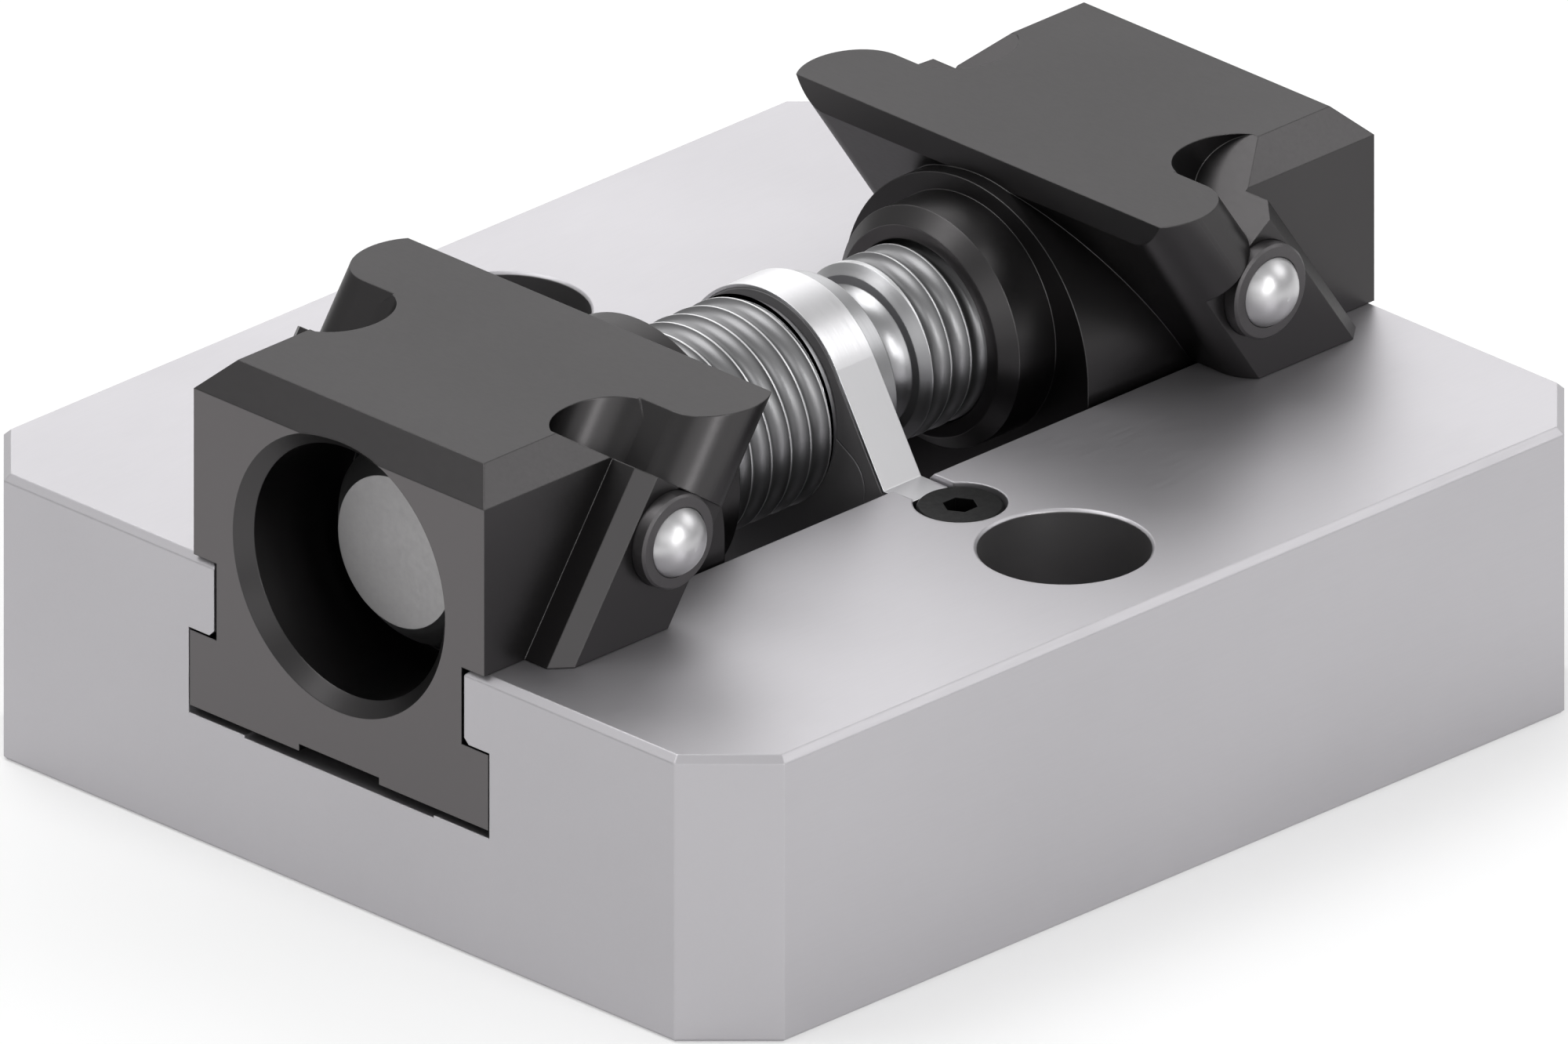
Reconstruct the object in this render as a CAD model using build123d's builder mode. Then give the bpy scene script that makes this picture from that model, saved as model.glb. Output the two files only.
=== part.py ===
from build123d import *
import os
from math import cos, radians, sin, sqrt, tan

# Self centring vise. Two jaw carriers slide in the T-slot of a base and are drawn together
# by one spindle that has a right-hand thread at one end and a left-hand thread at the other.
# X runs along the spindle, Y across the base, Z up. The origin is the middle of the underside.
# All sizes are in millimetres. The jaws are modelled at their open stop.

# Base
base_length = 100.0
base_width = 87.7
base_height = 25.0
corner_chamfer = 6.2
top_bevel = 0.6
foot_bevel = 0.3

# T-slot
lip_gap = 28.15
lip_thickness = 6.5
lip_bevel = 0.5
slot_width = 33.8
slot_depth = 7.5
relief_width = 21.3
relief_depth = 0.22

# Bolt holes
bolt_spacing = 63.0
bolt_hole_diameter = 9.0
counterbore_diameter = 14.0
counterbore_depth = 16.0
counterbore_bevel = 0.2

# Strap screws and their pockets
screw_spacing = 39.6
screw_head_diameter = 7.0
screw_head_height = 2.8
screw_head_sink = 0.2
screw_head_bevel = 0.15
screw_diameter = 4.0
screw_length = 10.0
screw_hole_spare = 1.0
screw_key = 2.5
screw_key_depth = 1.6
pocket_diameter = 7.64
tab_pocket_width = 4.6

# Spindle
axis_rise = 3.5
near_thread_diameter = 17.8
far_thread_diameter = 15.2
thread_chamfer = 2.5
far_thread_chamfer = 1.0
end_sink = 6.3
collar_diameter = 17.0
collar_bevel = 0.45
near_collar_end = 3.3
far_collar_end = 4.2
journal_diameter = 12.0
neck_mouth_diameter = 12.0
neck_diameter = 10.4
far_thread_start = 8.4
far_start_chamfer = 0.8
drive_key = 8.0
drive_depth = 10.0

# Bearing
bearing_length = 4.2
block_width = 22.28
block_flange_width = 27.9
shoulder_drop = 5.0
block_slope = 30.0
block_corner_radius = 3.0
key_depth = 1.5
cap_radius = 9.02
flank_angle = 31.0

# Strap
strap_thickness = 0.3
strap_width = 4.2
strap_tab_drop = 0.5
eye_diameter = 7.0
eye_gap = 0.2

# Jaw carriers
jaw_rise = 17.1
jaw_width = 32.6
jaw_chamfer = 2.5
jaw_length = 34.9
neck_width = 27.5
foot_width = 33.5
foot_height = 6.6
foot_groove_width = 9.0
foot_groove_depth = 0.6
nose_reach = 29.6
nose_center_rise = 1.3
boss_wall = 2.5
boss_chamfer = 1.25
mouth_chamfer = 0.1
bore_diameter = 21.46
bore_depth = 12.0
bore_countersink = 1.2

# Slanted horns, scoops and slabs of the jaw carriers
slant_angle = 34.5
horn_from_end = 24.95
horn_radius = 4.05
horn_half_span = 17.4
land_from_end = 28.2
scoop_radius = 4.1
scoop_half_span = 15.0
scoop_depth = 8.15
slab_half_width = 20.2
slab_reach = 7.15
slab_chamfer = 1.4

# Ball plungers
plunger_from_end = 16.73
plunger_rise = 8.0
sleeve_diameter = 8.0
sleeve_length = 9.8
sleeve_proud = 1.3
sleeve_floor = 1.0
sleeve_bevel = 0.2
ball_diameter = 6.5
mouth_diameter = 5.8
spring_diameter = 4.4
spring_wire = 0.8
spring_wire_sides = 6
spring_turns = 3

# Clearances
slide_gap = 0.05
foot_gap = 0.2
running_gap = 0.05
seat_gap = 0.02
ball_gap = 0.05

# Heights and places that follow from the sizes above
lip_bottom = base_height - lip_thickness
slot_floor = lip_bottom - slot_depth
axis_height = base_height + axis_rise
jaw_top = base_height + jaw_rise
jaw_seat = base_height + slide_gap
end_x = base_length / 2
jaw_front = end_x - jaw_length
nose_front = end_x - nose_reach
spindle_end = end_x - end_sink
spindle_axis = Axis((0, 0, axis_height), (1, 0, 0))
foot_top = lip_bottom - foot_gap
foot_bottom = foot_top - foot_height
head_top = base_height - screw_head_sink
head_seat = head_top - screw_head_height
pocket_floor = head_seat - strap_thickness
tab_top = base_height - strap_tab_drop
tab_bottom = tab_top - strap_thickness
key_floor = slot_floor - key_depth
shoulder_height = base_height - shoulder_drop
bearing_half = bearing_length / 2
journal_half = bearing_half + running_gap
screw_y = screw_spacing / 2


def at_axis(radius):
    """Height of a point that lies a given radius above the spindle's axis."""
    return axis_height + radius


def build_base():
    with BuildPart() as body:
        with BuildSketch():
            Rectangle(base_length, base_width)
        extrude(amount=base_height)
        chamfer(body.edges().filter_by(Axis.Z), corner_chamfer)
        chamfer(body.faces().sort_by(Axis.Z)[-1].edges(), top_bevel)
        chamfer(body.faces().sort_by(Axis.Z)[0].edges(), foot_bevel)

        # The slot's section: bevelled lips, wide foot space and a shallow relief in the floor
        with BuildSketch(Plane.YZ.offset(-end_x)):
            with Locations((0, (slot_floor + lip_bottom) / 2)):
                Rectangle(slot_width, slot_depth)
            with Locations((0, slot_floor)):
                Rectangle(relief_width, 2 * relief_depth)
            with BuildLine():
                half_gap = lip_gap / 2
                Polyline(
                    (-half_gap - lip_bevel, lip_bottom),
                    (-half_gap, lip_bottom + lip_bevel),
                    (-half_gap, base_height - lip_bevel),
                    (-half_gap - lip_bevel, base_height),
                    (half_gap + lip_bevel, base_height),
                    (half_gap, base_height - lip_bevel),
                    (half_gap, lip_bottom + lip_bevel),
                    (half_gap + lip_bevel, lip_bottom),
                    close=True,
                )
            make_face()
        extrude(amount=base_length, mode=Mode.SUBTRACT)

        # Key pocket that locates the bearing block in the slot's floor
        with BuildSketch(Plane.XY.offset(key_floor)):
            Rectangle(bearing_length + 2 * seat_gap, block_flange_width + 2 * seat_gap)
        extrude(amount=slot_depth, mode=Mode.SUBTRACT)

        # Bolt holes
        top = Plane.XY.offset(base_height)
        with Locations(top):
            with GridLocations(0, bolt_spacing, 1, 2):
                CounterBoreHole(bolt_hole_diameter / 2, counterbore_diameter / 2, counterbore_depth)
        mouths = body.edges().filter_by(GeomType.CIRCLE).group_by(Axis.Z)[-1]
        chamfer(mouths, counterbore_bevel)

        # Pockets for the strap's feet and threaded holes for its screws
        tab_reach = screw_y - sqrt((pocket_diameter / 2) ** 2 - (tab_pocket_width / 2) ** 2)
        screw_hole_depth = base_height - head_seat + screw_length + screw_hole_spare
        with Locations(top):
            with GridLocations(0, screw_spacing, 1, 2):
                Hole(pocket_diameter / 2, depth=base_height - pocket_floor)
                Hole(screw_diameter / 2 + seat_gap, depth=screw_hole_depth)
        with BuildSketch(Plane.XY.offset(tab_bottom)):
            Rectangle(tab_pocket_width, 2 * tab_reach)
        extrude(amount=base_height - tab_bottom, mode=Mode.SUBTRACT)
        drop_start = screw_y - pocket_diameter / 2 - 2 * seat_gap
        for side in (-1, 1):
            with BuildSketch(Plane.XY.offset(pocket_floor)):
                with Locations((0, side * (drop_start + tab_reach) / 2)):
                    Rectangle(tab_pocket_width, tab_reach - drop_start + 2 * seat_gap)
            extrude(amount=base_height - pocket_floor, mode=Mode.SUBTRACT)
    return body


def bearing_outline():
    """Outer line of the block that stands in the slot, from its foot to its sloped shoulders."""
    half = block_width / 2
    journal = journal_diameter / 2
    shoulder_fall = (half - journal) * tan(radians(block_slope))
    return half, journal, axis_height - shoulder_fall


def build_bearing_block():
    half, journal, corner_height = bearing_outline()
    with BuildPart() as block:
        with BuildSketch(Plane.YZ.offset(-bearing_half)):
            with BuildLine():
                Polyline(
                    (-half, shoulder_height),
                    (-half, corner_height),
                    (-journal, axis_height),
                    (journal, axis_height),
                    (half, corner_height),
                    (half, shoulder_height),
                    close=True,
                )
            shape = make_face()
            corners = shape.vertices().group_by(Axis.Y)[1]
            fillet(corners, block_corner_radius)
            with Locations((0, (key_floor + shoulder_height) / 2)):
                Rectangle(block_flange_width, shoulder_height - key_floor)
            with Locations((0, axis_height)):
                Circle(journal + running_gap, mode=Mode.SUBTRACT)
        extrude(amount=bearing_length)
    return block


def flank_point(radius, height):
    """Distance from the middle plane at which a flank, tangent to the arch, passes a height."""
    lean = radians(flank_angle)
    return (radius - (height - axis_height) * sin(lean)) / cos(lean)


def arch_tangent(radius):
    """Point where the arch's round top runs into its straight flank."""
    lean = radians(flank_angle)
    return radius * cos(lean), axis_height + radius * sin(lean)


def build_bearing_cap():
    half, journal, corner_height = bearing_outline()
    tangent_y, tangent_z = arch_tangent(cap_radius)
    flank_y = flank_point(cap_radius, tab_bottom)
    inner = half + seat_gap
    with BuildPart() as cap:
        with BuildSketch(Plane.YZ.offset(-bearing_half)):
            with BuildLine():
                ThreePointArc((-tangent_y, tangent_z), (0, at_axis(cap_radius)), (tangent_y, tangent_z))
                Polyline(
                    (tangent_y, tangent_z),
                    (flank_y, tab_bottom),
                    (flank_y, shoulder_height + seat_gap),
                    (-flank_y, shoulder_height + seat_gap),
                    (-flank_y, tab_bottom),
                    (-tangent_y, tangent_z),
                )
            make_face()
            with BuildSketch(mode=Mode.SUBTRACT):
                with BuildLine():
                    Polyline(
                        (-inner, shoulder_height),
                        (-inner, corner_height + seat_gap),
                        (-journal, axis_height + seat_gap),
                        (journal, axis_height + seat_gap),
                        (inner, corner_height + seat_gap),
                        (inner, shoulder_height),
                        close=True,
                    )
                shape = make_face()
                fillet(shape.vertices().group_by(Axis.Y)[1], block_corner_radius)
            with Locations((0, axis_height)):
                Circle(journal + running_gap, mode=Mode.SUBTRACT)
        extrude(amount=bearing_length)
    return cap


def mirrored(points):
    """The same points on the other side of the middle plane, in the opposite order."""
    return [(-y, z) for y, z in reversed(points)]


def build_strap():
    radius = cap_radius + seat_gap
    outer = radius + strap_thickness
    drop_y = screw_y - pocket_diameter / 2
    eye_start = screw_y - (screw_diameter + eye_diameter) / 4
    top_line = [
        arch_tangent(outer),
        (flank_point(outer, tab_top), tab_top),
        (drop_y + strap_thickness, tab_top),
        (drop_y + strap_thickness, head_seat),
        (eye_start, head_seat),
    ]
    under_line = [
        (eye_start, pocket_floor),
        (drop_y, pocket_floor),
        (drop_y, tab_bottom),
        (flank_point(radius, tab_bottom), tab_bottom),
        arch_tangent(radius),
    ]
    with BuildPart() as strap:
        with BuildSketch(Plane.YZ.offset(-strap_width / 2)):
            with BuildLine():
                ThreePointArc(mirrored(top_line)[-1], (0, at_axis(outer)), top_line[0])
                Polyline(*top_line, *under_line)
                ThreePointArc(under_line[-1], (0, at_axis(radius)), mirrored(under_line)[0])
                Polyline(*mirrored(under_line), *mirrored(top_line))
            make_face()
        extrude(amount=strap_width)
        with BuildSketch(Plane.XY.offset(pocket_floor)):
            with GridLocations(0, screw_spacing, 1, 2):
                Circle(eye_diameter / 2)
        extrude(amount=strap_thickness)
        with Locations(Plane.XY.offset(head_seat)):
            with GridLocations(0, screw_spacing, 1, 2):
                Hole(screw_diameter / 2 + eye_gap, depth=strap_thickness)
    return strap


def build_screw(side):
    with BuildPart() as screw:
        with BuildSketch(Plane.XY.offset(head_seat)):
            with Locations((0, side * screw_y)):
                Circle(screw_head_diameter / 2)
        extrude(amount=screw_head_height)
        chamfer(screw.edges().group_by(Axis.Z)[-1], screw_head_bevel)
        with BuildSketch(Plane.XY.offset(head_seat)):
            with Locations((0, side * screw_y)):
                Circle(screw_diameter / 2)
        extrude(amount=-screw_length)
        with BuildSketch(Plane.XY.offset(head_top)):
            with Locations((0, side * screw_y)):
                RegularPolygon(screw_key / 2, 6, major_radius=False)
        extrude(amount=-screw_key_depth, mode=Mode.SUBTRACT)
    return screw


def build_spindle():
    near_radius = near_thread_diameter / 2
    far_radius = far_thread_diameter / 2
    collar = collar_diameter / 2
    journal = journal_diameter / 2
    mouth = neck_mouth_diameter / 2
    neck_middle = (far_collar_end + far_thread_start) / 2
    with BuildPart() as spindle:
        with BuildSketch(Plane.XZ):
            with BuildLine():
                Polyline(
                    (far_collar_end, at_axis(mouth)),
                    (far_collar_end, at_axis(collar)),
                    (journal_half + collar_bevel, at_axis(collar)),
                    (journal_half, at_axis(collar - collar_bevel)),
                    (journal_half, at_axis(journal)),
                    (-journal_half, at_axis(journal)),
                    (-journal_half, at_axis(collar - collar_bevel)),
                    (-journal_half - collar_bevel, at_axis(collar)),
                    (-near_collar_end, at_axis(collar)),
                    (-near_collar_end, at_axis(near_radius)),
                    (-spindle_end + thread_chamfer, at_axis(near_radius)),
                    (-spindle_end, at_axis(near_radius - thread_chamfer)),
                    (-spindle_end, axis_height),
                    (spindle_end, axis_height),
                    (spindle_end, at_axis(far_radius - far_thread_chamfer)),
                    (spindle_end - far_thread_chamfer, at_axis(far_radius)),
                    (far_thread_start + far_start_chamfer, at_axis(far_radius)),
                    (far_thread_start, at_axis(far_radius - far_start_chamfer)),
                    (far_thread_start, at_axis(mouth)),
                )
                ThreePointArc(
                    (far_thread_start, at_axis(mouth)),
                    (neck_middle, at_axis(neck_diameter / 2)),
                    (far_collar_end, at_axis(mouth)),
                )
            make_face()
        revolve(axis=spindle_axis)
        with BuildSketch(Plane.YZ.offset(spindle_end)):
            with Locations((0, axis_height)):
                RegularPolygon(drive_key / 2, 6, major_radius=False, rotation=30)
        extrude(amount=-drive_depth, mode=Mode.SUBTRACT)
    return spindle


def slanted_plane():
    """Plane across the horns: its normal runs down and outward along their slant."""
    lean = radians(slant_angle)
    return Plane(
        origin=(end_x - horn_from_end, 0, jaw_top),
        x_dir=(cos(lean), 0, sin(lean)),
        z_dir=(sin(lean), 0, -cos(lean)),
    )


def undercut_x(height):
    """Where the slanted front of the jaw stands at a given height."""
    lean = radians(slant_angle)
    return end_x - horn_from_end - horn_radius / cos(lean) + (jaw_top - height) * tan(lean)


def build_jaw_blank():
    """One jaw carrier on the +X side, still without the bore for its thread."""
    slant = slanted_plane()
    land_x = end_x - land_from_end
    land_foot = jaw_top - (land_x - undercut_x(jaw_top)) / tan(radians(slant_angle))
    reach = 2 * jaw_rise
    with BuildPart() as jaw:
        # Upper block with its slanted front and bevelled top edges
        with BuildSketch(Plane.XZ.offset(-jaw_width / 2)):
            with BuildLine():
                Polyline(
                    (land_x, jaw_top),
                    (end_x, jaw_top),
                    (end_x, jaw_seat),
                    (undercut_x(jaw_seat), jaw_seat),
                    (land_x, land_foot),
                    close=True,
                )
            make_face()
        extrude(amount=jaw_width)
        top_edges = jaw.faces().sort_by(Axis.Z)[-1].edges()
        chamfer(top_edges.filter_by(Axis.X) + top_edges.filter_by(Axis.Y).sort_by(Axis.X)[-1], jaw_chamfer)

        # Horns: a full-round bar across the jaw, drawn along the slant
        with BuildSketch(slant):
            SlotCenterToCenter(2 * horn_half_span, 2 * horn_radius, rotation=90)
        extrude(amount=scoop_depth)
        with BuildSketch(slant):
            SlotCenterToCenter(2 * horn_half_span, 2 * horn_radius, rotation=90)
        extrude(amount=-jaw_rise)

        # Slabs under the horns, which carry the ball plungers
        with BuildSketch(slant.offset(scoop_depth)) as slab:
            SlotCenterToCenter(2 * horn_half_span, 2 * horn_radius, rotation=90)
            with Locations((slab_reach / 2, 0)):
                Rectangle(slab_reach, 2 * slab_half_width)
            Rectangle(2 * (slab_reach + horn_radius), 2 * slab_half_width, mode=Mode.INTERSECT)
            chamfer(slab.vertices().group_by(Axis.X)[-1], slab_chamfer)
        extrude(amount=reach)

        # Scoops behind the horns, open to both sides
        scoop_x = horn_radius + scoop_radius
        scoop_run = horn_half_span + horn_radius
        with BuildSketch(slant.offset(scoop_depth)):
            for side in (-1, 1):
                with Locations((scoop_x, side * scoop_half_span)):
                    Circle(scoop_radius)
                with Locations((scoop_x, side * (scoop_half_span + scoop_run / 2))):
                    Rectangle(2 * scoop_radius, scoop_run)
        extrude(amount=-reach, mode=Mode.SUBTRACT)

        # Trim to the top, the seat on the base and the upright land at the jaw's tip
        split(bisect_by=Plane.XY.offset(jaw_top), keep=Keep.BOTTOM)
        split(bisect_by=Plane.XY.offset(jaw_seat), keep=Keep.TOP)
        split(bisect_by=Plane.YZ.offset(land_x), keep=Keep.TOP)

        # Arched nose round the spindle
        nose_center = base_height + nose_center_rise
        with BuildSketch(Plane.YZ.offset(nose_front)):
            with Locations((0, nose_center)):
                Circle(neck_width / 2)
            with Locations((0, (nose_center + foot_top) / 2)):
                Rectangle(neck_width, nose_center - foot_top)
        extrude(amount=undercut_x(jaw_seat) + horn_radius - nose_front)

        # Neck in the slot and foot under the lips
        with BuildSketch(Plane.YZ.offset(nose_front)):
            with Locations((0, (jaw_seat + foot_bottom) / 2)):
                Rectangle(neck_width, jaw_seat - foot_bottom)
            with Locations((0, foot_bottom + foot_height / 2)):
                Rectangle(foot_width, foot_height)
            with Locations((0, foot_bottom)):
                Rectangle(foot_groove_width, 2 * foot_groove_depth, mode=Mode.SUBTRACT)
        extrude(amount=nose_reach)

        # Wide bore in the outer face that clears the spindle's end, with a countersunk mouth
        bore = bore_diameter / 2
        with BuildSketch(Plane.XZ):
            with BuildLine():
                Polyline(
                    (end_x - bore_depth, axis_height),
                    (end_x - bore_depth, at_axis(bore)),
                    (end_x - bore_countersink, at_axis(bore)),
                    (end_x + bore_countersink, at_axis(bore + 2 * bore_countersink)),
                    (end_x + bore_countersink, axis_height),
                    close=True,
                )
            make_face()
        revolve(axis=spindle_axis, mode=Mode.SUBTRACT)

        # Blind holes for the plungers
        plunger_x = end_x - plunger_from_end
        plunger_z = base_height + plunger_rise
        for side in (-1, 1):
            with BuildSketch(Plane.XZ.offset(-side * slab_half_width)):
                with Locations((plunger_x, plunger_z)):
                    Circle(sleeve_diameter / 2 + seat_gap)
            extrude(
                amount=side * (sleeve_length - sleeve_proud + seat_gap),
                mode=Mode.SUBTRACT,
            )
    return jaw


def build_jaw(blank, turned, thread_diameter):
    """A jaw carrier with the boss and the bore for its own thread."""
    thread_radius = thread_diameter / 2 + running_gap
    front = -jaw_front if turned else jaw_front
    outward = -1 if turned else 1
    front_rims = -1 if turned else 0
    with BuildPart() as jaw:
        add(blank.part, rotation=(0, 0, 180) if turned else (0, 0, 0))
        with BuildSketch(Plane.YZ.offset(front)):
            with Locations((0, axis_height)):
                Circle(thread_radius + boss_wall)
        extrude(amount=outward * (nose_front - jaw_front))
        chamfer(jaw.edges().filter_by(GeomType.CIRCLE).group_by(Axis.X)[front_rims], boss_chamfer)
        with BuildSketch(Plane.YZ.offset(front)):
            with Locations((0, axis_height)):
                Circle(thread_radius)
        extrude(amount=outward * jaw_length, mode=Mode.SUBTRACT)
        rims = jaw.edges().filter_by(GeomType.CIRCLE).group_by(Axis.X)[front_rims]
        chamfer(rims.sort_by(SortBy.RADIUS)[0], mouth_chamfer)
    return jaw


def plunger_place(end, side):
    """Plane at the mouth of a plunger, with its normal pointing out of the jaw."""
    return Plane(
        origin=(
            end * (end_x - plunger_from_end),
            side * (slab_half_width + sleeve_proud),
            base_height + plunger_rise,
        ),
        x_dir=(0, 0, 1),
        z_dir=(0, side, 0),
    )


def ball_depth():
    """How far the ball's middle lies behind the sleeve's mouth."""
    return sqrt((ball_diameter / 2) ** 2 - (mouth_diameter / 2) ** 2)


def build_sleeve():
    """Plunger sleeve, drawn upright with its mouth at the origin."""
    cavity = ball_diameter / 2 + ball_gap
    depth = ball_depth()
    mouth = sqrt(cavity**2 - depth**2)
    with BuildPart() as sleeve:
        with BuildSketch(Plane.XZ):
            with BuildLine():
                Polyline(
                    (mouth, 0),
                    (sleeve_diameter / 2 - sleeve_bevel, 0),
                    (sleeve_diameter / 2, -sleeve_bevel),
                    (sleeve_diameter / 2, -sleeve_length),
                    (0, -sleeve_length),
                    (0, sleeve_floor - sleeve_length),
                    (cavity, sleeve_floor - sleeve_length),
                    (cavity, -depth),
                )
                RadiusArc((cavity, -depth), (mouth, 0), -cavity)
            make_face()
        revolve(axis=Axis.Z)
    return sleeve


def build_ball():
    with BuildPart() as ball:
        with Locations((0, 0, -ball_depth())):
            Sphere(ball_diameter / 2)
    return ball


def build_spring():
    """Coil spring between the sleeve's floor and the back of the ball, its wire drawn six-sided."""
    coil = spring_diameter / 2
    wire = spring_wire / 2
    lift = sqrt((ball_diameter / 2 + wire + ball_gap) ** 2 - coil**2)
    low = sleeve_floor - sleeve_length + wire + seat_gap
    high = -ball_depth() - lift
    with BuildPart() as spring:
        with BuildLine(mode=Mode.PRIVATE) as path:
            Helix((high - low) / spring_turns, high - low, coil, center=(0, 0, low))
        with BuildSketch(Plane(origin=path.line @ 0, z_dir=path.line % 0)):
            RegularPolygon(wire, spring_wire_sides)
        sweep(path=path.line, is_frenet=True)
    return spring


def save(part, label):
    part.label = label
    export_step(part, f"parts/{label}.step")


os.makedirs("parts", exist_ok=True)

save(build_base().part, "base_body")
save(build_bearing_block().part, "bearing_block")
save(build_bearing_cap().part, "bearing_cap")
save(build_strap().part, "bearing_strap")
save(build_screw(1).part, "left_strap_screw")
save(build_screw(-1).part, "right_strap_screw")
save(build_spindle().part, "spindle")

jaw_blank = build_jaw_blank()
save(build_jaw(jaw_blank, True, near_thread_diameter).part, "near_jaw")
save(build_jaw(jaw_blank, False, far_thread_diameter).part, "far_jaw")

plunger_pieces = {
    "plunger_sleeve": build_sleeve(),
    "plunger_ball": build_ball(),
    "plunger_spring": build_spring(),
}
for end_name, end in (("near", -1), ("far", 1)):
    for side_name, side in (("left", 1), ("right", -1)):
        place = plunger_place(end, side)
        for piece_name, piece in plunger_pieces.items():
            with BuildPart() as placed:
                with Locations(place):
                    add(piece.part)
            save(placed.part, f"{end_name}_{side_name}_{piece_name}")
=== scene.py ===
# %% [markdown]
# # A small self centring vise
# A light ground base carries two blackened jaw carriers in a T-slot. One bright spindle with a
# right-hand thread at one end and a left-hand thread at the other draws them together.
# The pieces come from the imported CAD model. This script dresses them: it cuts the real helical
# threads, softens the edges, gives every metal its own finish, and lights the part softly.

from math import cos, floor, pi, radians, sin, sqrt

import bmesh
import bpy
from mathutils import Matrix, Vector


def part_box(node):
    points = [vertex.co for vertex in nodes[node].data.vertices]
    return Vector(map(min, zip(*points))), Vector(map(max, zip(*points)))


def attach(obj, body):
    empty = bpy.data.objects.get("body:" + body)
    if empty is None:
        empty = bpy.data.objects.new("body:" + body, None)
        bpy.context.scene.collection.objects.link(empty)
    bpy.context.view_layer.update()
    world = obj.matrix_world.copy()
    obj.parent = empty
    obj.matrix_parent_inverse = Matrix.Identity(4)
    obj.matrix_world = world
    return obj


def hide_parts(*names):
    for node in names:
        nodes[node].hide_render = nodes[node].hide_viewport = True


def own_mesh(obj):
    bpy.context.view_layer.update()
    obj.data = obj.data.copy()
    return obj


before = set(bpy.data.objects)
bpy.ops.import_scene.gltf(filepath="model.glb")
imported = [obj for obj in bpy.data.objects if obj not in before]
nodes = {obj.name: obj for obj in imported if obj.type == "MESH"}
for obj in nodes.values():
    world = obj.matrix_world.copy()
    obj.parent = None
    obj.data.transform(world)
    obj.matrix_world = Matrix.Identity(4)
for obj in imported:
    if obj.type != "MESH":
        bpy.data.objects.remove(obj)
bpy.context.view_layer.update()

# %% [markdown]
# ## Camera
# The photograph has no vanishing points: every set of parallel edges stays parallel, so the camera
# is orthographic. It looks down at 25 degrees across the corner between the drive-less end and the
# right-hand side. One real millimetre is 16.058 of the photograph's 2000 pixels, which fixes the
# width of the view. A perspective camera with a very long lens would look nearly the same, but the
# orthographic one matches exactly and needs no guess of the distance.

# %% Camera
MM = 0.001
PHOTO_WIDTH = 2000
PIXELS_PER_MM = 16.058
VIEW_ELEVATION = radians(25)
VIEW_AZIMUTH = radians(-45)
AIM = Vector((0, 0, 16.75 * MM))
CAMERA_DISTANCE = 0.6
NEAREST_SEEN = 0.01
FARTHEST_SEEN = 10

towards_camera = Vector((
    sin(VIEW_AZIMUTH) * cos(VIEW_ELEVATION),
    -cos(VIEW_AZIMUTH) * cos(VIEW_ELEVATION),
    sin(VIEW_ELEVATION),
))
camera_data = bpy.data.cameras.new("camera")
camera_data.type = "ORTHO"
camera_data.ortho_scale = PHOTO_WIDTH / PIXELS_PER_MM * MM
camera_data.clip_start = NEAREST_SEEN
camera_data.clip_end = FARTHEST_SEEN
camera = bpy.data.objects.new("camera", camera_data)
camera.location = AIM + towards_camera * CAMERA_DISTANCE
camera.rotation_mode = "QUATERNION"
camera.rotation_quaternion = towards_camera.to_track_quat("Z", "Y")
bpy.context.scene.collection.objects.link(camera)
bpy.context.scene.camera = camera
print("view width", round(camera_data.ortho_scale, 5), "m")

# %% [markdown]
# ## Node helpers
# Materials are built from nodes in code. Small helpers keep the cells below short: one adds a node
# with its settings, one does arithmetic, one rescales a value, one starts a node group with named
# sockets, and one puts a finished group in a material.

# %% Node helpers
def add_node(tree, kind, **settings):
    node = tree.nodes.new(kind)
    for name, value in settings.items():
        setattr(node, name, value)
    return node


def math_node(tree, operation, first, second=None, clamp=False):
    node = add_node(tree, "ShaderNodeMath", operation=operation, use_clamp=clamp)
    for socket, value in zip(node.inputs, (first, second)):
        if value is None:
            continue
        if isinstance(value, bpy.types.NodeSocket):
            tree.links.new(value, socket)
        else:
            socket.default_value = value
    return node.outputs[0]


def remap(tree, value, from_min, from_max, to_min, to_max):
    node = add_node(tree, "ShaderNodeMapRange")
    tree.links.new(value, node.inputs["Value"])
    limits = {"From Min": from_min, "From Max": from_max, "To Min": to_min, "To Max": to_max}
    for name, limit in limits.items():
        node.inputs[name].default_value = limit
    return node.outputs["Result"]


def new_group(name, inputs, outputs):
    """A node group with named sockets, and its input and output nodes."""
    group = bpy.data.node_groups.new(name, "ShaderNodeTree")
    for label, kind, value in inputs:
        socket = group.interface.new_socket(label, in_out="INPUT", socket_type=kind)
        socket.default_value = value
    for label, kind in outputs:
        group.interface.new_socket(label, in_out="OUTPUT", socket_type=kind)
    return group, group.nodes.new("NodeGroupInput"), group.nodes.new("NodeGroupOutput")


def place_group(tree, group, **values):
    """Puts a group in a material and sets its inputs; underscores stand for spaces."""
    node = tree.nodes.new("ShaderNodeGroup")
    node.node_tree = group
    for name, value in values.items():
        node.inputs[name.replace("_", " ").capitalize()].default_value = value
    return node


print("helpers ready")

# %% [markdown]
# ## Effects that several metals share
# *Tool marks* are what a grinding wheel, a lathe or a wire brush leaves: noise that is stretched
# along the cut. One group serves all, because the stretch is an input.
# *Worn edges* show where a sharp corner has been rubbed: the Bevel node compares a rounded normal
# with the true one, which differs only near an edge, and a little noise breaks the line up. The
# rounded normal is handed on as well, so that each edge catches the light as a real one does.
# *Handling* is the faint cloudiness of oil and fingers, plus fine specks.

# %% Tool marks
# Nearly all values of a noise texture lie between these two
NOISE_LOW = 0.3
NOISE_HIGH = 0.7
MARK_ROUGHNESS = 0.6


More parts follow.
